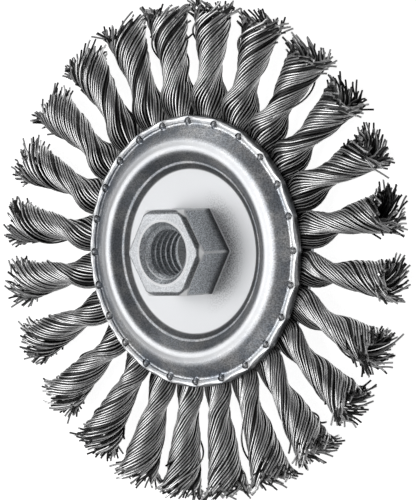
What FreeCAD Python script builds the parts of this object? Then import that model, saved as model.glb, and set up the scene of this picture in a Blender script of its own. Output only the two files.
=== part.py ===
import FreeCAD, Part
import math
import os

# Knotted wire wheel brush: two pressed cover plates clamp a holed core disc on a riveted nut,
# and each hole of the disc carries one bundle of wires, folded in half and twisted into a knot.
# It lies flat on the crest of its back plate, nut up, with the wheel's axis on Z.

Vec = FreeCAD.Vector

# Wheel
wheel_diameter = 125.0
knot_count = 24

# Pressed cover plates, heights measured from the wheel's middle plane
sheet = 0.8
disc_radius = 20.9
disc_height = 3.1
disc_bend = 0.9
shoulder_width = 1.4
shoulder_rise = 0.8
shoulder_round = 0.5
valley_round = 0.8
crest_offset = 5.4
crest_rise = 3.0
crest_round = 2.6
crest_inner_slope = 42.0
crest_outer_slope = 12.0
brow_inset = 5.2
brow_round = 4.0
band_inset = 2.4
band_round = 1.0
rim_width = 8.1
lip_round = 0.95
lip_depth = 1.15

# Lip knuckles, pushed up by the knots, and the punched beads between them
knuckle_rise = 0.65
knuckle_dip = 0.5
knuckle_overlap_angle = 1.0
knuckle_width = 2.0
knuckle_ramp = 0.35
bead_inset = 1.45
bead_radius = 0.85
bead_rise = 0.75
pocket_radius = 1.1
pocket_depth = 0.35
pocket_shift = 0.15

# Hub nut with its riveted shank
thread_diameter = 14.0
thread_pitch = 2.0
thread_length = 14.0
mouth_chamfer = 1.9
plain_bore_clearance = 0.2
shank_wall = 2.2
shank_clearance = 0.05
nut_across_flats = 21.6
nut_height = 11.5
nut_chamfer_width = 0.9
nut_chamfer_height = 1.15
nut_foot_chamfer = 0.4
rivet_overhang = 2.1
rivet_recess = 0.45
rivet_round = 0.5

# Core disc and the spacers beside it
core_thickness = 1.0
core_inset = 2.0
core_rim_width = 2.15
core_hole_clearance = 0.15
spacer_inset = 1.1

# Wire bundle where it loops through the core disc
loop_width = 5.6
loop_shift = 0.3
loop_clearance = 0.05
loop_headroom = 0.1

# Twisted part of a knot: flat where it leaves the plates, then a two-lobed waist, then a round tip
root_gap = 0.2
root_overlap = 0.4
root_headroom = 0.2
root_side_gap = 0.1
root_squareness = 2.5
waist_distance = 9.0
waist_half_width = 3.7
waist_half_thickness = 2.6
tip_half_width = 5.3
width_flare_power = 2.2
thickness_flare_power = 0.9
groove_share = 0.12
groove_spread = 0.35
lay_at_lip = 51.0
lay_at_tip = 26.0
flute_count = 18
flute_depth = 0.32
flute_run_in = 3.0
points_per_flute = 4
knot_stations = 17
tip_dish_depth = 2.2
tip_wall = 1.4

# Plates
pitch_angle = 360.0 / knot_count
shoulder_radius = disc_radius + shoulder_width
shoulder_height = disc_height + shoulder_rise
crest_radius = disc_radius + crest_offset
crest_height = disc_height + crest_rise
plate_radius = crest_radius + rim_width
lip_height = disc_height - lip_depth
inner_face = disc_height - sheet
middle = max(crest_height, tip_half_width)

# Hub
disc_face = middle + disc_height
back_face = middle - disc_height
nut_top = disc_face + nut_height
thread_depth = math.sqrt(3) * thread_pitch * 5 / 16
bore_radius = thread_diameter / 2 - thread_depth
plain_bore_radius = (thread_diameter + plain_bore_clearance) / 2
shank_radius = plain_bore_radius + shank_wall
rivet_height = crest_rise - rivet_recess

# Core disc and bundles
core_radius = plate_radius - core_inset
core_hole_radius = loop_width / 2 + core_hole_clearance
core_hole_circle = core_radius - core_rim_width - core_hole_radius
loop_foot = core_thickness / 2 + loop_clearance
loop_thickness = inner_face - loop_headroom - loop_foot
loop_offset = loop_foot + loop_thickness / 2
root_radius = core_radius + root_gap
root_half_width = root_radius * math.sin(math.radians(pitch_angle / 2)) - root_side_gap
root_half_thickness = lip_height - root_headroom
lip_reach = plate_radius - root_radius
waist_reach = lip_reach + waist_distance
tip_radius = math.sqrt((wheel_diameter / 2) ** 2 - tip_half_width ** 2)
knot_length = tip_radius - root_radius


def export(shape, name):
    shape.exportStep(os.path.join("parts", name + ".step"))


def turned(shape, angle):
    copy = shape.copy()
    copy.rotate(Vec(0, 0, 0), Vec(0, 0, 1), angle)
    return copy


def around(shape, count, start=0.0):
    """Copies of a shape, evenly spaced about the wheel's axis."""
    return [turned(shape, start + i * 360.0 / count) for i in range(count)]


def rounded_line(points, rounds):
    """Open line of straight runs in the XZ plane, with each inner corner rounded."""
    edges = []
    start = points[0]
    for before, corner, after, radius in zip(points, points[1:], points[2:], rounds):
        back = (before - corner).normalize()
        ahead = (after - corner).normalize()
        half = back.getAngle(ahead) / 2
        run = radius / math.tan(half)
        centre = corner + (back + ahead).normalize() * (radius / math.sin(half))
        first = corner + back * run
        last = corner + ahead * run
        top = centre + (corner - centre).normalize() * radius
        edges.append(Part.LineSegment(start, first).toShape())
        edges.append(Part.Arc(first, top, last).toShape())
        start = last
    edges.append(Part.LineSegment(start, points[-1]).toShape())
    return Part.Wire(edges)


def plate_line(bore):
    """Outer face of the pressed plate, from its bore over the crest to the end of its lip."""
    inner = math.radians(crest_inner_slope)
    outer = math.radians(crest_outer_slope)
    centre_height = crest_height - crest_round
    reach = crest_round / math.cos((inner + outer) / 2)
    lean = (outer - inner) / 2
    apex = Vec(crest_radius + reach * math.sin(lean), 0, centre_height + reach * math.cos(lean))
    valley = apex - Vec((apex.z - shoulder_height) / math.tan(inner), 0, apex.z - shoulder_height)
    brow_run = plate_radius - brow_inset - apex.x
    brow = apex + Vec(brow_run, 0, -brow_run * math.tan(outer))
    points = [Vec(bore, 0, disc_height), Vec(disc_radius, 0, disc_height)]
    points += [Vec(shoulder_radius, 0, shoulder_height), valley, apex, brow]
    points += [Vec(plate_radius - band_inset, 0, disc_height)]
    points += [Vec(plate_radius, 0, disc_height), Vec(plate_radius, 0, lip_height)]
    rounds = [disc_bend, shoulder_round, valley_round, crest_round, brow_round, band_round, lip_round]
    return rounded_line(points, rounds)


def lip_knuckles():
    """Low bulges of the lip over the knots, each falling away to the beads at its sides."""
    half_width = plate_radius * math.sin(math.radians(pitch_angle / 2))
    curve = (half_width ** 2 + knuckle_dip ** 2) / (2 * knuckle_dip)
    top = disc_height + knuckle_rise
    foot = disc_height - sheet / 2
    inner = plate_radius - knuckle_width
    arc_centre = Vec(plate_radius - lip_round, 0, top - lip_round)
    arc_start = arc_centre + Vec(lip_round, 0, 0)
    arc_end = arc_centre + Vec(0, 0, lip_round)
    arc_middle = arc_centre + Vec(1, 0, 1).normalize() * lip_round
    section = Part.Wire([
        Part.makeLine(Vec(inner, 0, foot), Vec(plate_radius - sheet, 0, foot)),
        Part.makeLine(Vec(plate_radius - sheet, 0, foot), Vec(plate_radius, 0, foot - sheet / 2)),
        Part.makeLine(Vec(plate_radius, 0, foot - sheet / 2), arc_start),
        Part.Arc(arc_start, arc_middle, arc_end).toShape(),
        Part.makeLine(arc_end, Vec(inner + knuckle_ramp, 0, top)),
        Part.makeLine(Vec(inner + knuckle_ramp, 0, top), Vec(inner, 0, foot)),
    ])
    sector = pitch_angle + 2 * knuckle_overlap_angle
    stretch = Part.Face(section).revolve(Vec(0, 0, 0), Vec(0, 0, 1), sector)
    barrel = Part.makeCylinder(curve, plate_radius, Vec(0, 0, top - curve), Vec(1, 0, 0))
    knuckle = turned(stretch, -sector / 2).common(barrel)
    return around(knuckle, knot_count, pitch_angle / 2)


def cover_plate():
    """Front plate: sheet pressed to the profile, with its knuckles, pockets and beads."""
    line = plate_line(shank_radius + shank_clearance)
    section = line.makeOffset2D(-sheet, 0, True, True)
    plate = section.revolve(Vec(0, 0, 0), Vec(0, 0, 1), 360)
    plate = plate.fuse(lip_knuckles())
    bead_place = Vec(plate_radius - bead_inset, 0, disc_height)
    pocket_foot = bead_place - Vec(pocket_shift, 0, pocket_depth)
    pocket = Part.makeCylinder(pocket_radius, pocket_depth + sheet, pocket_foot)
    plate = plate.cut(around(pocket, knot_count))
    bead = Part.makeSphere(bead_radius, bead_place + Vec(0, 0, bead_rise - bead_radius))
    below = Part.makeBox(4 * bead_radius, 4 * bead_radius, 2 * bead_radius)
    below.translate(pocket_foot + Vec(-2 * bead_radius, -2 * bead_radius, -sheet / 4 - 2 * bead_radius))
    plate = plate.fuse(around(bead.cut(below), knot_count)).removeSplitter()
    plate.translate(Vec(0, 0, middle))
    return plate


def hexagon(across_flats, height):
    corner = across_flats / 2 / math.cos(math.radians(30))
    ring = []
    for i in range(7):
        turn = math.radians(60 * i)
        ring.append(Vec(corner * math.cos(turn), corner * math.sin(turn), height))
    return Part.makePolygon(ring)


def cylinder_between(radius, low, high):
    return Part.makeCylinder(radius, high - low, Vec(0, 0, low))


def hub_nut():
    """Hexagon with bevelled edges, and the bored shank riveted over the back plate."""
    rings = [
        hexagon(nut_across_flats - 2 * nut_foot_chamfer, disc_face),
        hexagon(nut_across_flats, disc_face + nut_foot_chamfer),
        hexagon(nut_across_flats, nut_top - nut_chamfer_height),
        hexagon(nut_across_flats - 2 * nut_chamfer_width, nut_top),
    ]
    head = Part.makeLoft(rings, True, True)
    shank = cylinder_between(shank_radius, back_face, disc_face)
    bottom = back_face - rivet_height
    rivet = cylinder_between(shank_radius + rivet_overhang, bottom, back_face)
    rim = [edge for edge in rivet.Edges if edge.BoundBox.ZMax < bottom + rivet_round]
    rivet = rivet.makeFillet(rivet_round, rim)
    body = head.fuse([shank, rivet]).removeSplitter()
    mouth_foot = Vec(0, 0, nut_top - mouth_chamfer)
    bores = [
        cylinder_between(bore_radius, bottom, nut_top),
        Part.makeCone(bore_radius, bore_radius + mouth_chamfer, mouth_chamfer, mouth_foot),
        cylinder_between(plain_bore_radius, bottom, nut_top - thread_length),
    ]
    return body.cut(bores)


def core_disc():
    """Flat disc on the shank, with the row of holes that the wire bundles loop through."""
    low = middle - core_thickness / 2
    disc = cylinder_between(core_radius, low, low + core_thickness)
    bore = cylinder_between(shank_radius + shank_clearance, low, low + core_thickness)
    hole = Part.makeCylinder(core_hole_radius, core_thickness, Vec(core_hole_circle, 0, low))
    return disc.cut([bore] + around(hole, knot_count, pitch_angle / 2))


def front_spacer():
    """Thick washer that fills the space between the core disc and the front plate."""
    low = middle + core_thickness / 2
    high = middle + inner_face
    ring = cylinder_between(disc_radius - spacer_inset, low, high)
    return ring.cut(cylinder_between(shank_radius + shank_clearance, low, high))


def mirrored(shape):
    """The same piece on the other side of the wheel's middle plane."""
    return shape.mirror(Vec(0, 0, middle), Vec(0, 0, 1))


def smooth(x):
    x = min(max(x, 0.0), 1.0)
    return x * x * (3 - 2 * x)


def knot_size(reach):
    """Half width, half thickness and groove of a knot's section, at a distance from its root."""
    squeeze = smooth((reach - lip_reach) / waist_distance)
    run = max(0.0, (reach - waist_reach) / (knot_length - waist_reach))
    width = root_half_width + (waist_half_width - root_half_width) * squeeze
    thickness = root_half_thickness + (waist_half_thickness - root_half_thickness) * squeeze
    width += (tip_half_width - waist_half_width) * run ** width_flare_power
    thickness += (tip_half_width - waist_half_thickness) * run ** thickness_flare_power
    return width, thickness, groove_share * squeeze * (1 - run)


def knot_turn(reach):
    """Angle that the bundle has turned, right-handed, at a distance from its root."""
    run = max(0.0, reach - lip_reach)
    tighten = (1 / lay_at_tip - 1 / lay_at_lip) * run ** 2 / (2 * (knot_length - lip_reach))
    return 2 * math.pi * (run / lay_at_lip + tighten)


def knot_ring(reach):
    """Points of the grooved and fluted section of a knot that points along X."""
    width, thickness, groove = knot_size(reach)
    fade = smooth((reach - lip_reach) / flute_run_in) * smooth((knot_length - reach) / flute_run_in)
    squareness = root_squareness + (2 - root_squareness) * smooth((reach - lip_reach) / waist_distance)
    count = flute_count * points_per_flute
    ring = []
    for i in range(count + 1):
        place = 2 * math.pi * (i % count) / count
        side = abs(math.cos(place))
        face = abs(math.sin(place))
        radius = ((side / width) ** squareness + (face / thickness) ** squareness) ** (-1 / squareness)
        radius *= 1 - groove * math.exp(-(side / groove_spread) ** 2)
        radius -= flute_depth * fade * (1 - math.cos(flute_count * place)) / 2
        angle = place + knot_turn(reach)
        across = radius * math.cos(angle)
        ring.append(Vec(root_radius + reach, across, middle + radius * math.sin(angle)))
    return ring


def end_face(side, x):
    """Flat face that closes a knot's side surface at one of its ends."""
    flat = [edge for edge in side.Edges if edge.BoundBox.XLength < 0.001]
    return Part.Face(Part.Wire([edge for edge in flat if abs(edge.BoundBox.XMin - x) < 0.001]))


def twisted_body():
    """The two halves of the bundle, twisted together and flaring to the dished tip."""
    step = knot_length / (knot_stations - 1)
    surface = Part.BSplineSurface()
    surface.interpolate([knot_ring(step * i) for i in range(knot_stations)])
    side = surface.toShape()
    shell = Part.makeShell([side, end_face(side, root_radius), end_face(side, tip_radius)])
    shell.sewShape()
    body = Part.Solid(shell)
    if body.Volume < 0:
        body.reverse()
    dish = tip_half_width - tip_wall
    ball = (dish ** 2 + tip_dish_depth ** 2) / (2 * tip_dish_depth)
    return body.cut(Part.makeSphere(ball, Vec(tip_radius + ball - tip_dish_depth, 0, middle)))


def bundle_loop():
    """The bundle folded round the rim of the core disc, through its hole."""
    inmost = core_hole_circle + loop_shift
    bend = inmost + loop_offset
    end = root_radius + root_overlap
    upper = Vec(end, 0, middle + loop_offset)
    lower = Vec(end, 0, middle - loop_offset)
    turn_in = Vec(bend, 0, middle + loop_offset)
    turn_out = Vec(bend, 0, middle - loop_offset)
    path = Part.Wire([
        Part.makeLine(upper, turn_in),
        Part.Arc(turn_in, Vec(inmost, 0, middle), turn_out).toShape(),
        Part.makeLine(turn_out, lower),
    ])
    wide = upper + Vec(0, loop_width / 2, 0)
    thick = upper + Vec(0, 0, loop_thickness / 2)
    section = Part.Wire(Part.Ellipse(wide, thick, upper).toShape())
    return path.makePipeShell([section], True, False)


def main():
    os.makedirs("parts", exist_ok=True)
    plate = cover_plate()
    washer = front_spacer()
    export(plate, "front_plate")
    export(mirrored(plate), "back_plate")
    export(hub_nut(), "hub_nut")
    export(core_disc(), "core_disc")
    export(washer, "front_spacer")
    export(mirrored(washer), "back_spacer")
    knot = twisted_body().fuse(bundle_loop())
    for number, shape in enumerate(around(knot, knot_count, pitch_angle / 2), 1):
        export(shape, "knot_%02d" % number)


main()
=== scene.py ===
import math
import random

import bmesh
import bpy
import numpy as np
from mathutils import Matrix, Vector


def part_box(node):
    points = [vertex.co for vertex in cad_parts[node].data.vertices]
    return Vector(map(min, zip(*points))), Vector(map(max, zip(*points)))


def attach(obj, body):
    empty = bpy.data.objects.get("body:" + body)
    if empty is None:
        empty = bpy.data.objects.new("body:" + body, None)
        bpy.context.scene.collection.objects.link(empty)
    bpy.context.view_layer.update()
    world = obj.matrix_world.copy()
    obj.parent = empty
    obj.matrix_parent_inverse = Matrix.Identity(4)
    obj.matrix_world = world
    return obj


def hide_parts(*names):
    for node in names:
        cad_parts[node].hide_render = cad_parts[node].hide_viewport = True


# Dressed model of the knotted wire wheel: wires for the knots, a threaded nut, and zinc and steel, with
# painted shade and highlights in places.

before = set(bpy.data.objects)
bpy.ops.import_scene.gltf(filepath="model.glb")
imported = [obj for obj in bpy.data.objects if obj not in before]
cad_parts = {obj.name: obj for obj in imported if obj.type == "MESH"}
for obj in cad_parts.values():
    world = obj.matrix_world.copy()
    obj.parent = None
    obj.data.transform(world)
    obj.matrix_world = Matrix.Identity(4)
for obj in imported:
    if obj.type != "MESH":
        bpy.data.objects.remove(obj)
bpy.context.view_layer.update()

mm = 0.001
sheet_thickness = 0.8 * mm
root_gap = 0.2 * mm

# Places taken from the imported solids
lip_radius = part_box("front_plate")[1].x
core_low, core_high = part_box("core_disc")
middle = (core_low.z + core_high.z) / 2
root_radius = core_high.x + root_gap
rivet_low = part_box("hub_nut")[0].z
nut_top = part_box("hub_nut")[1].z
back_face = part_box("back_spacer")[0].z - sheet_thickness
knot_count = sum(name.startswith("knot_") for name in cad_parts)

# Hexagon nut with its bored shank
nut_height = 11.5 * mm
disc_face = nut_top - nut_height
across_flats = 21.6 * mm
chamfer_width = 0.9 * mm
chamfer_height = 1.15 * mm
foot_ledge = 0.25 * mm
foot_height = 0.2 * mm
edge_round = 0.2 * mm
shank_radius = 9.3 * mm
shank_overlap = 0.2 * mm
rivet_overhang = 2.1 * mm
rivet_round = 0.45 * mm
plain_bore = 7.1 * mm
bore_overlap = 0.01 * mm
mouth_radius = 7.82 * mm
mouth_depth = 1.9 * mm
overrun = 1 * mm
round_sides = 96

# Radius at the nut's face of the 45 degree cone that cuts the hexagon's corners
corner_cone_radius = 10.95 * mm

# Thread, whose ridge has a wide root and a narrow crest
major_radius = 7.03 * mm
minor_radius = 5.93 * mm
thread_pitch = 2.0 * mm
thread_turns = 6
thread_steps = 64
thread_length = 14.0 * mm
half_root = 0.9 * mm
half_crest = 0.25 * mm
root_sunk = 0.1 * mm

# Heights of the nut's foot and face in millimetres, for bands of tone
foot_at = disc_face / mm
face_at = nut_top / mm

# Plane of the rim's beads, which the camera aims at
bead_plane = disc_face + 0.75 * mm

# Section of a knot along its length: flat at the plates, two-lobed at the waist, round at the tip
root_half_width = 4.155 * mm
root_half_thickness = 1.75 * mm
root_squareness = 2.5
waist_distance = 9.0 * mm
root_widening = 1.1 * mm
root_thickening = 0.5 * mm
waist_half_width = 3.7 * mm
waist_half_thickness = 2.6 * mm
tip_half_width = 5.3 * mm
tip_distance = 62.2 * mm
width_flare_power = 2.2
thickness_flare_power = 0.9
groove_share = 0.12
groove_spread = 0.35
lay_at_lip = 51.0 * mm
lay_at_tip = 26.0 * mm
reach_limit = 64.0 * mm
floor_gap = 0.1 * mm

# Wires of one knot. The weights say how often a wire is bright, mid or dull.
wire_radius = 0.25 * mm
skin_wires = 30
skin_weights = (6, 4, 1)
broken_share = 0.12
second_depth = 0.42 * mm
crown_wires = 34
crown_weights = (3, 2, 2)
crown_length = 8 * mm
crown_steps = 8
bowl_depth = 5.5 * mm
stray_steps = 18
stray_lift = 0.05 * mm
station_step = 1.3 * mm
settling_length = 4 * mm
shortest_end = 0.2 * mm
table_points = 96
table_step = 0.1 * mm

# Dark core that the wires hide: painted shade inside the bundle
core_corners = 24
core_steps = 18
core_depth = 0.62 * mm
core_setback = 6 * mm

# Order of the finishes in a knot's material slots
bright, mid, dull_and_shaded, dark = range(4)

# Painted shade between the wires, with some oily grime: how squarely a wire's side faces outwards where it is
# left unmarked and where it is painted black
unmarked_facing = 0.97
black_facing = 0.66
line_stations = 60

# Open end of a knot, where the painted shade and grime lose a share of their strength
open_length = 6 * mm
open_fade = 4 * mm
open_relief = 0.5

# Stretches of the rim whose bundles use has bent sideways: middle and half-width in degrees clockwise
# from the top bead, and the bend in degrees
bent_stretches = ((143, 36, 2.0), (75, 20, -1.3), (217, 22, -1.3), (5, 25, -0.8))


def smooth(x):
    x = min(max(x, 0.0), 1.0)
    return x * x * (3 - 2 * x)


def sideways_bend(angle):
    """Bend of the bundle at an angle about the wheel's axis, in radians, clockwise seen from the nut."""
    azimuth = 90 - math.degrees(angle)
    bend = 0.0
    for middle_azimuth, half_width, size in bent_stretches:
        off = (azimuth - middle_azimuth + 180) % 360 - 180
        bend += size * math.exp(-(off / half_width) ** 2)
    return math.radians(bend)


class Knot:
    """One bundle's own slightly uneven section, twist, flare and lean."""

    def __init__(self, number):
        self.chance = random.Random(100 + number)
        chance = self.chance
        self.angle = 2 * math.pi * (number - 0.5) / knot_count
        self.phase = chance.uniform(-0.25, 0.25)
        self.tighter = chance.uniform(0.93, 1.07)
        self.flare = chance.uniform(0.95, 1.05)
        self.lean = chance.uniform(-0.5, 0.5) * mm
        self.bend = sideways_bend(self.angle)
        self.lift = chance.uniform(-0.35, 0.35) * mm
        self.ripple = [
            (chance.uniform(0.002, 0.006), chance.choice((2, 3, 5)), chance.uniform(0, 7))
            for _ in range(3)
        ]
        self.tables = {}

    def section(self, distance, places):
        """Radius of the section's outside at each angle about the knot's own line."""
        run = distance - lip_radius
        squeeze = smooth(run / waist_distance)
        bulge = math.sin(math.pi * min(max(run / waist_distance, 0.0), 1.0))
        flare_run = tip_distance - lip_radius - waist_distance
        flare = max(0.0, (run - waist_distance) / flare_run)
        width = root_half_width + (waist_half_width - root_half_width) * squeeze
        thickness = root_half_thickness + (waist_half_thickness - root_half_thickness) * squeeze
        width += (tip_half_width * self.flare - waist_half_width) * flare ** width_flare_power
        thickness += (tip_half_width * self.flare - waist_half_thickness) * flare ** thickness_flare_power
        squareness = root_squareness + (2 - root_squareness) * squeeze
        side = np.abs(np.cos(places))
        face = np.abs(np.sin(places))
        width += root_widening * bulge
        thickness += root_thickening * bulge
        radius = ((side / width) ** squareness + (face / thickness) ** squareness) ** (-1 / squareness)
        groove = groove_share * squeeze * max(0.0, 1 - flare)
        return radius * (1 - groove * np.exp(-(side / groove_spread) ** 2))

    def table(self, distance):
        """Angle and radius of the section against the share of the way round it, for a station."""
        key = round(distance / table_step)
        if key not in self.tables:
            places = np.linspace(0, 2 * math.pi, table_points + 1)
            radius = self.section(distance, places) - wire_radius
            steps = np.hypot(np.diff(radius * np.cos(places)), np.diff(radius * np.sin(places)))
            shares = np.concatenate(([0], np.cumsum(steps))) / steps.sum()
            self.tables[key] = (shares, places, radius)
        return self.tables[key]

    def turn(self, distance):
        run = max(0.0, distance - lip_radius)
        tighten = (1 / lay_at_tip - 1 / lay_at_lip) * run ** 2 / (2 * (tip_distance - lip_radius))
        turn = 2 * math.pi * (run / lay_at_lip + tighten) * self.tighter
        return turn + self.phase * smooth(run / waist_distance)

    def point(self, distance, share, depth):
        """Place of a wire: its share of the way round the section and its depth below the outside."""
        for size, count, phase in self.ripple:
            share += size * math.sin(2 * math.pi * count * share + phase)
        shares, places, radii = self.table(distance)
        share %= 1.0
        place = float(np.interp(share, shares, places))
        radius = max(float(np.interp(share, shares, radii)) - depth, wire_radius)
        angle = place + self.turn(distance)
        return Vector((distance, radius * math.cos(angle), radius * math.sin(angle))) + self.offset(distance)

    def offset(self, distance):
        """How far the bundle's own line stands off the radius through its root."""
        run = max(0.0, distance - lip_radius)
        out = run / (tip_distance - lip_radius)
        sideways = self.lean * out - self.bend * distance * smooth(run / waist_distance)
        return Vector((0, sideways, self.lift * out ** 2))

    def placed(self, point):
        return Matrix.Rotation(self.angle, 3, "Z") @ point + Vector((0, 0, middle))


def inside(point, height_limit):
    """True while a point of a free wire end keeps to the wheel's reach, clear of the floor on either side."""
    if math.hypot(point.x, point.y) > reach_limit:
        return False
    return abs(point.z) < height_limit


def waves(chance, size, longest):
    """A slow random drift along a wire, as two sine waves."""
    parts = [(chance.uniform(0.4, 1.0) * size, chance.uniform(0, 7), longest * chance.uniform(0.7, 1.5))]
    parts.append((parts[0][0] / 2, chance.uniform(0, 7), parts[0][2] / 2.3))
    return lambda x: sum(a * math.sin(b + 2 * math.pi * x / c) for a, b, c in parts)


def jitter(chance, spread):
    """A random step, with each coordinate up to the spread."""
    return Vector([chance.uniform(-1, 1) for _ in range(3)]) * spread


def free_end(knot, points, length, outward, spread):
    """Lets a wire run on from its last stretch, flared outwards and turned a little by chance."""
    last = points[-1]
    ahead = (last - points[-2]).normalized()
    away = last - knot.offset(last.x)
    away.x = 0.0
    away.normalize()
    ahead += away * outward + jitter(knot.chance, spread)
    ahead.normalize()
    curl = away * outward * 0.6 + jitter(knot.chance, spread)
    height_limit = middle - wire_radius - floor_gap
    while length > shortest_end and not inside(last + (ahead + curl) * length, height_limit):
        length *= 0.85
    for share in (0.35, 0.7, 1.0):
        points.append(last + (ahead + curl * share * 0.5) * length * share)


def skin_wire(knot, share, depth, rise, end):
    """One wire of a knot's skin, from inside the plates to its cut end."""
    chance = knot.chance
    drift = waves(chance, 0.004, 18 * mm)
    sink = waves(chance, 0.06 * mm, 12 * mm)
    count = round((end - root_radius) / station_step)
    points = []
    for i in range(count + 1):
        distance = root_radius + station_step * i
        out = smooth((distance - lip_radius) / (end - lip_radius))
        settled = smooth((distance - lip_radius) / settling_length)
        below = depth + (rise - depth) * out ** 3 + sink(distance) * settled
        points.append(knot.point(distance, share + drift(distance), below))
    free_end(knot, points, chance.uniform(0.8, 3.6) * mm, chance.uniform(-0.1, 0.6), 0.2)
    return points


def crown_wire(knot, share, hollow):
    """A wire from inside the bundle, which ends in the bowl of the tip and bends outwards there."""
    chance = knot.chance
    end = tip_distance - bowl_depth * (1 - hollow) ** 1.3 + chance.uniform(-0.8, 0.8) * mm
    start = end - crown_length
    points = []
    for i in range(crown_steps + 1):
        along = i / crown_steps
        distance = start + (end - start) * along
        depth = tip_half_width * (1 - hollow) * (1 - 0.3 * along ** 2)
        points.append(knot.point(distance, share + 0.12 * along ** 2, depth))
    free_end(knot, points, chance.uniform(0.8, 2.6) * mm, chance.uniform(0.1, 0.8), 0.25)
    return points


def stray_wire(knot):
    """A wire that has sprung out of the twist and bows over it."""
    chance = knot.chance
    share = chance.random()
    start = lip_radius + chance.uniform(4, 14) * mm
    end = tip_distance - chance.uniform(0, 2) * mm
    bow = chance.uniform(0.3, 1.5) * mm
    lag = chance.uniform(-0.14, 0.08)
    points = []
    for i in range(stray_steps + 1):
        along = i / stray_steps
        distance = start + (end - start) * along
        arch = math.sin(math.pi * along) ** 1.5
        points.append(knot.point(distance, share + lag * along, -stray_lift - bow * arch))
    free_end(knot, points, chance.uniform(0.5, 3.0) * mm, 0.2, 0.3)
    return points


def pick(*pieces):
    """Selects these objects and nothing else, with the last of them active."""
    bpy.ops.object.select_all(action="DESELECT")
    for piece in pieces:
        piece.select_set(True)
    bpy.context.view_layer.objects.active = pieces[-1]


def add_line(curve, knot, points, tone):
    spline = curve.splines.new("POLY")
    spline.points.add(len(points) - 1)
    spline.use_smooth = True
    spline.material_index = tone
    for i, point in enumerate(points):
        spline.points[i].co = (*knot.placed(point), 1)


def add_core(piece, knot):
    """Closed dark body in the middle of the bundle, below its wires: painted shade inside the bundle."""
    end = tip_distance - core_setback
    mesh = bmesh.new()
    mesh.from_mesh(piece.data)
    rings = []
    for i in range(core_steps + 1):
        distance = root_radius + (end - root_radius) * i / core_steps
        ring = [knot.point(distance, k / core_corners, core_depth) for k in range(core_corners)]
        rings.append([mesh.verts.new(knot.placed(point)) for point in ring])
    faces = [mesh.faces.new(list(reversed(rings[0]))), mesh.faces.new(rings[-1])]
    for low, high in zip(rings, rings[1:]):
        for k in range(core_corners):
            after = (k + 1) % core_corners
            faces.append(mesh.faces.new((low[k], low[after], high[after], high[k])))
    for face in faces:
        face.material_index = dark
        face.smooth = True
    bmesh.ops.recalc_face_normals(mesh, faces=faces)
    mesh.to_mesh(piece.data)
    mesh.free()


def add_shade_and_grime(piece, knot):
    """Marks each wire black on the side that faces the middle of its bundle, least at the open tip: painted
    shade between the wires, with some oily grime.
    """
    mesh = piece.data
    count = len(mesh.vertices)
    places = np.empty(count * 3)
    normals = np.empty(count * 3)
    mesh.vertices.foreach_get("co", places)
    mesh.vertices.foreach_get("normal", normals)
    back = np.array(Matrix.Rotation(-knot.angle, 3, "Z"))
    places = (places.reshape(-1, 3) - (0, 0, middle)) @ back.T
    normals = normals.reshape(-1, 3) @ back.T
    stations = np.linspace(root_radius, reach_limit, line_stations)
    line = np.array([knot.offset(x) for x in stations])
    away_y = places[:, 1] - np.interp(places[:, 0], stations, line[:, 1])
    away_z = places[:, 2] - np.interp(places[:, 0], stations, line[:, 2])
    facing = (normals[:, 1] * away_y + normals[:, 2] * away_z) / np.maximum(np.hypot(away_y, away_z), 1e-6)
    # Painted shade: the side of a wire that faces into the bundle is marked dark, as shade between the wires
    hidden = np.clip((unmarked_facing - facing) / (unmarked_facing - black_facing), 0, 1)
    open_end = np.clip((places[:, 0] - tip_distance + open_length) / open_fade, 0, 1)
    shade_and_grime = hidden * (1 - open_relief * open_end)
    mark = mesh.attributes.new("shade_and_grime", "FLOAT", "POINT")
    mark.data.foreach_set("value", shade_and_grime)


def add_wires(curve, knot):
    """Draws one knot's skin, the layer under it, the wires of its open tip and its strays."""
    chance = knot.chance
    for i in range(skin_wires):
        share = (i + chance.uniform(-0.12, 0.12)) / skin_wires
        broken = chance.random() < broken_share
        missing = chance.uniform(3, 9) if broken else chance.uniform(0.2, 3.0)
        depth = abs(chance.gauss(0, 0.06)) * mm
        rise = chance.uniform(-0.5, 0.3) * mm
        points = skin_wire(knot, share, depth, rise, tip_distance - missing * mm)
        add_line(curve, knot, points, chance.choices((bright, mid, dull_and_shaded), skin_weights)[0])
    # The layer under the skin all takes the near-black dull finish, as painted shade between the outer wires
    for i in range(skin_wires):
        share = (i + 0.5 + chance.uniform(-0.2, 0.2)) / skin_wires
        end = tip_distance - chance.uniform(0.6, 3.4) * mm
        points = skin_wire(knot, share, second_depth, chance.uniform(-0.1, 0.5) * mm, end)
        add_line(curve, knot, points, dull_and_shaded)
    for i in range(crown_wires):
        points = crown_wire(knot, chance.random(), chance.uniform(0.3, 0.93))
        add_line(curve, knot, points, chance.choices((bright, mid, dull_and_shaded), crown_weights)[0])
    for i in range(chance.choice((0, 1, 1, 2))):
        add_line(curve, knot, stray_wire(knot), chance.choice((bright, mid)))


def knot_piece(number, finishes):
    """All wires of one knot and its dark core as one mesh."""
    knot = Knot(number)
    name = "knot_%02d" % number
    curve = bpy.data.curves.new(name + "_wires", "CURVE")
    curve.dimensions = "3D"
    curve.bevel_depth = wire_radius
    curve.bevel_resolution = 2
    curve.use_fill_caps = True
    for finish in finishes:
        curve.materials.append(finish)
    add_wires(curve, knot)
    piece = bpy.data.objects.new(name + "_wires", curve)
    bpy.context.collection.objects.link(piece)
    pick(piece)
    bpy.ops.object.convert(target="MESH")
    piece = bpy.context.view_layer.objects.active
    add_core(piece, knot)
    add_shade_and_grime(piece, knot)
    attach(piece, "root")
    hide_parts(name)


# Nut


def in_edit(select):
    """Enters edit mode with the faces picked by a test on their centre."""
    bpy.ops.object.mode_set(mode="EDIT")
    bpy.ops.mesh.select_mode(type="FACE")
    bpy.ops.mesh.select_all(action="DESELECT")
    bpy.ops.object.mode_set(mode="OBJECT")
    for face in bpy.context.active_object.data.polygons:
        face.select = select(face.center)
    bpy.ops.object.mode_set(mode="EDIT")


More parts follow.
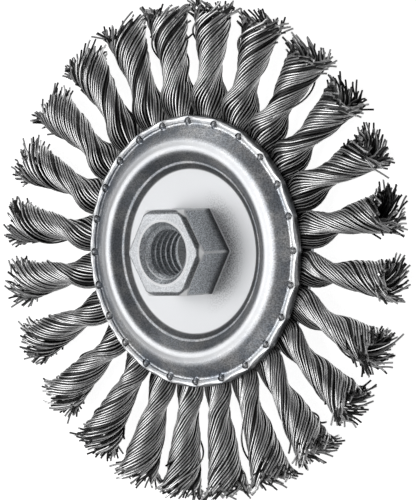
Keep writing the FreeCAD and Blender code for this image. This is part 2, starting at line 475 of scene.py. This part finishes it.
def cylinder(radius, low, high, sides=round_sides, top_radius=None, turn=0.0):
    """Upright cylinder, cone or prism about the wheel's axis."""
    bpy.ops.object.select_all(action="DESELECT")
    bpy.ops.mesh.primitive_cone_add(
        vertices=sides, radius1=radius, radius2=radius if top_radius is None else top_radius,
        depth=high - low, location=(0, 0, (low + high) / 2), rotation=(0, 0, turn))
    bpy.ops.object.transform_apply(location=True, rotation=True, scale=True)
    return bpy.context.active_object


def apply_modifier(piece, kind, **settings):
    pick(piece)
    modifier = piece.modifiers.new(kind.lower(), kind)
    for name, value in settings.items():
        setattr(modifier, name, value)
    bpy.ops.object.modifier_apply(modifier=modifier.name)


def bevel(piece, width, least_turn):
    """Rounds each edge whose faces turn by more than an angle in degrees."""
    apply_modifier(piece, "BEVEL", width=width, segments=3, limit_method="ANGLE",
                   angle_limit=math.radians(least_turn))


def combine(piece, tool, operation):
    """Adds a tool to a piece, cuts it out or keeps what both share, and removes the tool."""
    apply_modifier(piece, "BOOLEAN", operation=operation, object=tool, solver="EXACT")
    bpy.data.objects.remove(tool, do_unlink=True)


def thread_ridge():
    """Right-hand thread inside the bore: a blunt ridge screwed up round the axis."""
    low = nut_top - thread_length
    sunk = major_radius + root_sunk
    corners = [(sunk, 0, -half_root), (minor_radius, 0, -half_crest), (minor_radius, 0, half_crest),
               (sunk, 0, half_root)]
    places = [(x, y, z + low + half_root) for x, y, z in corners]
    mesh = bpy.data.meshes.new("thread")
    mesh.from_pydata(places, [(0, 1), (1, 2), (2, 3), (3, 0)], [])
    ridge = bpy.data.objects.new("thread", mesh)
    bpy.context.collection.objects.link(ridge)
    apply_modifier(ridge, "SCREW", angle=2 * math.pi, screw_offset=thread_pitch, iterations=thread_turns,
                   steps=thread_steps, use_smooth_shade=False)
    bpy.ops.object.mode_set(mode="EDIT")
    bpy.ops.mesh.select_all(action="SELECT")
    bpy.ops.mesh.fill_holes(sides=0)
    bpy.ops.mesh.select_all(action="SELECT")
    bpy.ops.mesh.normals_make_consistent(inside=False)
    bpy.ops.object.mode_set(mode="OBJECT")
    return ridge


def hexagon_head():
    """Hexagon with a chamfered top, rounded edges, cone-cut corners and a thin ledge at its foot."""
    flat_share = math.cos(math.radians(30))
    corner = across_flats / 2 / flat_share
    body_high = nut_top - chamfer_height
    head = cylinder(corner, disc_face, body_high, 6, turn=math.radians(90))
    in_edit(lambda centre: centre.z > body_high - 1e-5)
    bpy.ops.mesh.extrude_region_move(TRANSFORM_OT_translate={"value": (0, 0, chamfer_height)})
    shrink = 1 - 2 * chamfer_width / across_flats
    bpy.ops.transform.resize(value=(shrink, shrink, 1), center_override=(0, 0, 0))
    bpy.ops.object.mode_set(mode="OBJECT")
    bevel(head, edge_round, 15)
    slant = nut_height + overrun
    cone = cylinder(corner_cone_radius + slant, nut_top - slant, nut_top + overrun,
                    top_radius=corner_cone_radius - overrun)
    combine(head, cone, "INTERSECT")
    ledge = corner + foot_ledge / flat_share
    foot = cylinder(ledge, disc_face, disc_face + foot_height, 6, turn=math.radians(90))
    combine(head, foot, "UNION")
    return head


def add_shank(nut):
    """Joins the shank and its riveted collar to the head."""
    combine(nut, cylinder(shank_radius, back_face - shank_overlap, disc_face + overrun), "UNION")
    collar = cylinder(shank_radius + rivet_overhang, rivet_low, back_face)
    bevel(collar, rivet_round, 40)
    combine(nut, collar, "UNION")


def add_bore(nut):
    """Cuts the bore, the wider plain bore behind it and the mouth's chamfer, and adds the thread."""
    thread_low = nut_top - thread_length
    combine(nut, cylinder(major_radius, thread_low, nut_top + 2 * overrun), "DIFFERENCE")
    combine(nut, cylinder(plain_bore, rivet_low - overrun, thread_low + bore_overlap), "DIFFERENCE")
    ridge = thread_ridge()
    grow = (mouth_radius - minor_radius) / mouth_depth
    for piece in (nut, ridge):
        mouth = cylinder(minor_radius, nut_top - mouth_depth, nut_top + overrun,
                         top_radius=mouth_radius + grow * overrun)
        combine(piece, mouth, "DIFFERENCE")
    pick(ridge, nut)
    bpy.ops.object.join()


def nut_piece(finish):
    """Hexagon nut with a threaded bore, a shank and a riveted collar."""
    nut = hexagon_head()
    add_shank(nut)
    add_bore(nut)
    bpy.ops.object.shade_smooth_by_angle(angle=math.radians(32))
    nut.name = "threaded_nut"
    nut.data.materials.clear()
    nut.data.materials.append(finish)
    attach(nut, "root")
    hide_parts("hub_nut")


# Materials


def new_material(name):
    material = bpy.data.materials.new(name)
    material.use_nodes = True
    tree = material.node_tree
    shader = tree.nodes["Principled BSDF"]
    shader.inputs["Metallic"].default_value = 1.0
    place = tree.nodes.new("ShaderNodeTexCoord")
    return material, tree, shader, place.outputs["Object"]


def noise(tree, place, scale, detail=2.0, rough=0.5):
    """Noise whose cells are a size given in metres."""
    node = tree.nodes.new("ShaderNodeTexNoise")
    node.inputs["Scale"].default_value = 1 / scale
    node.inputs["Detail"].default_value = detail
    node.inputs["Roughness"].default_value = rough
    tree.links.new(place, node.inputs["Vector"])
    return node.outputs["Fac"]


def ramp(tree, factor, stops):
    node = tree.nodes.new("ShaderNodeValToRGB")
    elements = node.color_ramp.elements
    while len(elements) < len(stops):
        elements.new(0.5)
    for element, (position, value) in zip(elements, stops):
        element.position = position
        tone = value if isinstance(value, tuple) else (value, value, value)
        element.color = (*tone, 1)
    tree.links.new(factor, node.inputs["Fac"])
    return node.outputs["Color"]


def calculate(tree, operation, first, second=0.0):
    node = tree.nodes.new("ShaderNodeMath")
    node.operation = operation
    for socket, value in zip(node.inputs, (first, second)):
        if isinstance(value, bpy.types.NodeSocket):
            tree.links.new(value, socket)
        else:
            socket.default_value = value
    return node.outputs[0]


def wheel_coordinates(tree, place):
    """Radius from the wheel's axis, height along it, and place along X of the shaded point."""
    node = tree.nodes.new("ShaderNodeSeparateXYZ")
    tree.links.new(place, node.inputs[0])
    x, y, z = node.outputs
    square = calculate(tree, "ADD", calculate(tree, "POWER", x, 2.0), calculate(tree, "POWER", y, 2.0))
    return calculate(tree, "SQRT", square), z, x


def band(tree, value, stops):
    """Tone against a length in metres, from stops given in millimetres."""
    span = stops[-1][0] - stops[0][0]
    share = calculate(tree, "DIVIDE", calculate(tree, "SUBTRACT", value, stops[0][0] * mm), span * mm)
    return ramp(tree, share, [((at - stops[0][0]) / span, tone) for at, tone in stops])


def blend(tree, kind, factor, first, second):
    """Mixes two colours; each may be a socket or a tone."""
    node = tree.nodes.new("ShaderNodeMix")
    node.data_type = "RGBA"
    node.blend_type = kind
    for socket, value in ((node.inputs[0], factor), (node.inputs[6], first), (node.inputs[7], second)):
        if isinstance(value, bpy.types.NodeSocket):
            tree.links.new(value, socket)
        else:
            socket.default_value = value if isinstance(value, float) else (*value, 1)
    return node.outputs[2]


def bumps(tree, shader, heights):
    """Chains bump nodes: each is a height socket, a depth in metres and a strength."""
    normal = None
    for height, depth, strength in heights:
        node = tree.nodes.new("ShaderNodeBump")
        node.inputs["Distance"].default_value = depth
        if isinstance(strength, bpy.types.NodeSocket):
            tree.links.new(strength, node.inputs["Strength"])
        else:
            node.inputs["Strength"].default_value = strength
        tree.links.new(height, node.inputs["Height"])
        if normal:
            tree.links.new(normal, node.inputs["Normal"])
        normal = node.outputs["Normal"]
    tree.links.new(normal, shader.inputs["Normal"])


def wire_steel(name, low, high):
    """Drawn steel wire with duller stretches along it, black and matt where the mesh is marked with painted
    shade and grime.
    """
    material, tree, shader, place = new_material(name)
    shade_and_grime = tree.nodes.new("ShaderNodeAttribute")
    shade_and_grime.attribute_name = "shade_and_grime"
    patches = noise(tree, place, 9 * mm, 2)
    tint = ramp(tree, patches, ((0.35, low), (0.65, high)))
    # Painted shade and grime: near black where the mesh is marked
    shaded_and_soiled = blend(tree, "MIX", shade_and_grime.outputs["Fac"], tint, (0.004, 0.004, 0.004))
    tree.links.new(shaded_and_soiled, shader.inputs["Base Color"])
    roughness = ramp(tree, shade_and_grime.outputs["Fac"], ((0.0, 0.2), (1.0, 0.6)))
    tree.links.new(roughness, shader.inputs["Roughness"])
    metal = ramp(tree, shade_and_grime.outputs["Fac"], ((0.0, 1.0), (1.0, 0.0)))
    tree.links.new(metal, shader.inputs["Metallic"])
    shader.inputs["Specular IOR Level"].default_value = 0.1
    return material


def dark_inside():
    """Shadowed inside of a bundle."""
    material, tree, shader, place = new_material("bundle_inside")
    tint = ramp(tree, noise(tree, place, 0.8 * mm), ((0.3, 0.003), (0.8, 0.012)))
    tree.links.new(tint, shader.inputs["Base Color"])
    shader.inputs["Roughness"].default_value = 0.7
    return material


def painted_shade_beside_nut(tree, place, radius, along):
    """Share of painted shade, speckled, on the flat middle close to the nut, on the side towards +X, where
    the nut's shadow and its dark mirrored side fall.
    """
    ahead = band(tree, along, ((-4, 0.0), (4, 0.0), (11, 1.0), (40, 1.0)))
    near_nut = band(tree, radius, ((0, 0.85), (12.5, 0.85), (17.5, 0.0), (38, 0.0)))
    grainy_breakup = ramp(tree, noise(tree, place, 0.4 * mm, 3, 0.7), ((0.47, 0.0), (0.56, 1.0)))
    return calculate(tree, "MULTIPLY", calculate(tree, "MULTIPLY", ahead, near_nut), grainy_breakup)


def painted_bead_highlight(tree, radius, height):
    """Share of painted highlight on the tops of the rim's beads."""
    high = band(tree, height, ((0, 0.0), (9.35, 0.0), (9.75, 1.0), (12, 1.0)))
    outer = band(tree, radius, ((0, 0.0), (33.2, 0.0), (33.5, 1.0), (38, 1.0)))
    return calculate(tree, "MULTIPLY", high, outer)


def zinc_sheet():
    """Bright zinc on the pressed plates: satin on the middle, grained on the drawn slopes, with painted shade
    darkening the valley round the middle and tone set darker on the slopes and lip, painted shade beside the
    nut and a painted highlight on the beads.

    The bands of radius follow the pressing: flat middle, step, raised ring, outer slope and lip.
    """
    material, tree, shader, place = new_material("zinc_sheet")
    radius, height, along = wheel_coordinates(tree, place)
    drawn = band(tree, radius, ((0, 0.0), (20.8, 0.0), (21.4, 0.7), (24.8, 0.8), (26.0, 0.15), (27.4, 0.1),
                                (29.4, 0.8), (31.9, 1.0), (32.5, 0.7), (38, 0.6)))
    clouds = noise(tree, place, 4 * mm, 4)
    skin = noise(tree, place, 0.38 * mm, 3)
    patches = ramp(tree, noise(tree, place, 7 * mm, 5, 0.65), ((0.4, (0.52, 0.57, 0.64)), (0.62, (1, 1, 1))))
    grained = ramp(tree, skin, ((0.36, 0.38), (0.52, 0.78), (0.64, 1.0)))
    sheet = blend(tree, "MULTIPLY", 1.0, grained, patches)
    tint = blend(tree, "MIX", drawn, (0.77, 0.78, 0.795), sheet)
    # Painted shade by radius: darkest in the valley round the flat middle; the slopes and lip are also set
    # darker than the middle and the outer ring
    shade_by_radius = band(tree, radius, ((0, 1.0), (20.7, 1.0), (20.95, 0.26), (22.0, 0.26), (22.7, 0.48), (24.6, 0.5),
                                (25.6, 0.7), (27.4, 0.7), (28.4, 0.95), (32.2, 0.95), (32.7, 0.48),
                                (38, 0.48)))
    tint = blend(tree, "MULTIPLY", 1.0, tint, shade_by_radius)
    # Painted shade, speckled, on the flat middle beside the nut towards +X
    nut_shade = painted_shade_beside_nut(tree, place, radius, along)
    tint = blend(tree, "MIX", nut_shade, tint, (0.16, 0.165, 0.175))
    # Painted highlight: near-white on the tops of the rim's beads
    tint = blend(tree, "MIX", painted_bead_highlight(tree, radius, height), tint, (0.8, 0.81, 0.82))
    tree.links.new(tint, shader.inputs["Base Color"])
    roughness = band(tree, radius, ((0, 0.48), (20.8, 0.48), (21.4, 0.42), (25, 0.42), (38, 0.4)))
    tree.links.new(roughness, shader.inputs["Roughness"])
    metal = band(tree, radius, ((0, 0.3), (20.8, 0.3), (21.3, 0.9), (38, 0.9)))
    tree.links.new(metal, shader.inputs["Metallic"])
    speckle = calculate(tree, "MULTIPLY", drawn, 0.55)
    dents = noise(tree, place, 1.3 * mm, 2)
    bumps(tree, shader, [(clouds, 0.06 * mm, 0.45), (dents, 0.05 * mm, speckle), (skin, 0.07 * mm, speckle)])
    return material


def nut_painted_shade(tree, height, outside):
    """Painted shade on the nut's tone: darker on its sides just above the foot line, in the chamfer band, and
    down its bore below the thread.
    """
    sides = band(tree, height, (
        (foot_at, 1.0), (foot_at + 0.22, 1.0), (foot_at + 0.26, 0.12), (foot_at + 1.4, 0.25),
        (foot_at + 3.0, 0.8), (face_at - 1.5, 1.0), (face_at - 1.22, 1.0), (face_at - 1.05, 0.3),
        (face_at - 0.25, 0.3), (face_at - 0.06, 0.8), (face_at, 0.8)))
    bore = band(tree, height, ((0, 0.15), (face_at - 14.2, 0.2), (face_at - 13.9, 0.8), (face_at, 0.8)))
    return blend(tree, "MIX", outside, bore, sides)


def painted_edge_highlights(tree, radius, height):
    """Share of painted highlight on the nut's edges, its top corners and the rim of its bore."""
    side_edges = band(tree, radius, ((0, 0.0), (12.22, 0.0), (12.34, 0.8), (14, 0.8)))
    chamfer_edge = band(tree, height, (
        (foot_at, 0.0), (face_at - 1.3, 0.0), (face_at - 1.22, 0.7), (face_at - 1.1, 0.7),
        (face_at - 1.02, 0.0), (face_at, 0.0)))
    cut_corners = band(tree, radius, ((0, 0.0), (11.3, 0.0), (11.6, 1.0), (14, 1.0)))
    near_top = band(tree, height, ((foot_at, 0.0), (face_at - 1.8, 0.0), (face_at - 1.5, 1.0),
                                   (face_at, 1.0)))
    top_corners = calculate(tree, "MULTIPLY", cut_corners, near_top)
    rim = band(tree, radius, ((0, 0.0), (7.75, 0.0), (7.85, 0.8), (8.2, 0.8), (8.5, 0.0), (14, 0.0)))
    above_foot = band(tree, height, ((foot_at, 0.0), (foot_at + 1.0, 0.0), (foot_at + 2.5, 1.0),
                                     (face_at, 1.0)))
    edges = calculate(tree, "MAXIMUM", side_edges, chamfer_edge)
    corners = calculate(tree, "MAXIMUM", edges, top_corners)
    return calculate(tree, "MULTIPLY", calculate(tree, "MAXIMUM", corners, rim), above_foot)


def zinc_nut():
    """Grained zinc over the forged nut, smoother on its face, with painted highlights on its edges, top
    corners, foot line and bore rim, and painted shade near its foot, in its chamfer and down its bore.
    """
    material, tree, shader, place = new_material("zinc_nut")
    radius, height, _ = wheel_coordinates(tree, place)
    clouds = noise(tree, place, 2.5 * mm, 4)
    skin = noise(tree, place, 0.32 * mm, 3)
    grained = ramp(tree, skin, ((0.37, (0.3, 0.32, 0.345)), (0.6, (0.92, 0.96, 1.0))))
    outside = band(tree, radius, ((0, 0.0), (7.9, 0.0), (8.0, 1.0), (14, 1.0)))
    # The nut's tone carries painted shade near its foot, in its chamfer and down its bore
    tint = blend(tree, "MULTIPLY", 1.0, grained, nut_painted_shade(tree, height, outside))
    face = band(tree, height, ((face_at - 2, 0.0), (face_at - 0.08, 0.0), (face_at - 0.03, 0.65),
                               (face_at, 0.65)))
    smooth_face = calculate(tree, "MULTIPLY", face, outside)
    tint = blend(tree, "MIX", smooth_face, tint, (0.3, 0.303, 0.31))
    # Painted highlights: near-white on the nut's edges, top corners, foot line and bore rim
    foot = band(tree, height, ((foot_at, 1.0), (foot_at + 0.21, 1.0), (foot_at + 0.24, 0.0), (face_at, 0.0)))
    foot_highlight = calculate(tree, "MULTIPLY", foot, outside)
    painted_highlight = calculate(tree, "MAXIMUM", painted_edge_highlights(tree, radius, height), foot_highlight)
    tint = blend(tree, "MIX", painted_highlight, tint, (0.96, 0.97, 0.98))
    tree.links.new(ramp(tree, painted_highlight, ((0.0, 0.65), (0.8, 0.0))), shader.inputs["Metallic"])
    tree.links.new(tint, shader.inputs["Base Color"])
    roughness = ramp(tree, clouds, ((0.3, 0.42), (0.7, 0.3)))
    tree.links.new(roughness, shader.inputs["Roughness"])
    bumps(tree, shader, [(clouds, 0.08 * mm, 0.5), (skin, 0.06 * mm, 0.6)])
    return material


def plain_steel():
    """Pressed steel of the core disc and the spacers."""
    material, tree, shader, place = new_material("plain_steel")
    tint = ramp(tree, noise(tree, place, 2 * mm, 4), ((0.3, 0.3), (0.7, 0.42)))
    tree.links.new(tint, shader.inputs["Base Color"])
    shader.inputs["Roughness"].default_value = 0.45
    return material


def paint(node, material):
    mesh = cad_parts[node].data
    mesh.materials.clear()
    mesh.materials.append(material)


# Stage


def floor():
    """Pale floor: it glows evenly where it is seen or mirrored, and its own grey takes the wheel's shadow."""
    floor_size = 30.0
    seen_level = 0.93
    bpy.ops.object.select_all(action="DESELECT")
    bpy.ops.mesh.primitive_plane_add(size=floor_size, location=(0, 0, 0))
    plane = bpy.context.active_object
    plane.name = "floor"
    material = bpy.data.materials.new("pale_floor")
    material.use_nodes = True
    tree = material.node_tree
    tree.nodes.clear()
    rays = tree.nodes.new("ShaderNodeLightPath")
    seen = calculate(tree, "MAXIMUM", rays.outputs["Is Camera Ray"], rays.outputs["Is Glossy Ray"])
    through = calculate(tree, "MAXIMUM", seen, rays.outputs["Is Transmission Ray"])
    lift = calculate(tree, "MULTIPLY", through, seen_level)
    base = tree.nodes.new("ShaderNodeBsdfDiffuse")
    base.inputs["Color"].default_value = (0.4, 0.4, 0.4, 1)
    glow = tree.nodes.new("ShaderNodeEmission")
    tree.links.new(lift, glow.inputs["Strength"])
    both = tree.nodes.new("ShaderNodeAddShader")
    tree.links.new(base.outputs[0], both.inputs[0])
    tree.links.new(glow.outputs[0], both.inputs[1])
    end = tree.nodes.new("ShaderNodeOutputMaterial")
    tree.links.new(both.outputs[0], end.inputs["Surface"])
    plane.data.materials.append(material)


def soft_light(name, azimuth, elevation, distance, spread, brightness):
    """A round softbox that faces the wheel.

    Spread is its angular radius in degrees, and brightness is the radiance of its face.
    """
    size = 2 * distance * math.tan(math.radians(spread))
    light = bpy.data.lights.new(name, "AREA")
    light.shape = "DISK"
    light.size = size
    light.energy = brightness * math.pi * math.pi * size ** 2 / 4
    lamp = bpy.data.objects.new(name, light)
    a = math.radians(azimuth)
    e = math.radians(elevation)
    way = Vector((math.cos(e) * math.cos(a), math.cos(e) * math.sin(a), math.sin(e)))
    lamp.location = way * distance
    lamp.rotation_euler = way.to_track_quat("Z", "Y").to_euler()
    bpy.context.collection.objects.link(lamp)


def surroundings():
    world = bpy.data.worlds.new("studio")
    world.use_nodes = True
    world.node_tree.nodes["Background"].inputs["Color"].default_value = (0.12, 0.12, 0.124, 1)
    bpy.context.scene.world = world


def camera():
    """Telephoto view on the nut's side, rolled so that the wheel's axis points left."""
    focal_pixels = 4200.0
    long_side_pixels = 500.0
    pixels_per_mm = 3.96
    tilt = math.radians(2.2895)
    swing = math.radians(40.14)
    roll = math.radians(-0.303)
    target = Vector((0, 0, bead_plane))
    shift = Vector((-4.43, 0.3535, focal_pixels / pixels_per_mm)) * mm
    wheel = Matrix(((math.cos(roll), math.sin(roll), 0), (math.sin(roll), -math.cos(roll), 0), (0, 0, -1)))
    view = Matrix.Rotation(swing, 3, "Y") @ Matrix.Rotation(tilt, 3, "X") @ wheel
    lens = bpy.data.cameras.new("photo_camera")
    lens.sensor_width = 36.0
    lens.lens = focal_pixels * lens.sensor_width / long_side_pixels
    lens.clip_end = 50.0
    eye = bpy.data.objects.new("photo_camera", lens)
    eye.location = target - view.transposed() @ shift
    eye.rotation_euler = (Matrix.Diagonal((1, -1, -1)) @ view).transposed().to_euler()
    bpy.context.collection.objects.link(eye)
    bpy.context.scene.camera = eye


camera()
wire_finishes = [
    wire_steel("bright_wire", 0.85, 1.0),
    wire_steel("mid_wire", 0.65, 1.0),
    # Near-black finish: a dull wire's own tone, and painted shade on the layer under the skin
    wire_steel("dull_and_shaded_wire", 0.04, 0.13),
    dark_inside(),
]
for number in range(1, knot_count + 1):
    knot_piece(number, wire_finishes)
nut_piece(zinc_nut())
sheet_zinc = zinc_sheet()
paint("front_plate", sheet_zinc)
paint("back_plate", sheet_zinc)
steel = plain_steel()
for node in ("core_disc", "front_spacer", "back_spacer"):
    paint(node, steel)
floor()
surroundings()
soft_light("overhead_softbox", azimuth=180, elevation=65, distance=1.0, spread=28, brightness=2.7)
soft_light("left_lamp", azimuth=115, elevation=20, distance=1.2, spread=14, brightness=1.1)
soft_light("right_lamp", azimuth=-75, elevation=22, distance=1.2, spread=12, brightness=1.1)
soft_light("front_lamp", azimuth=0, elevation=14, distance=1.2, spread=12, brightness=2.6)
bpy.context.scene.view_settings.view_transform = "Standard"
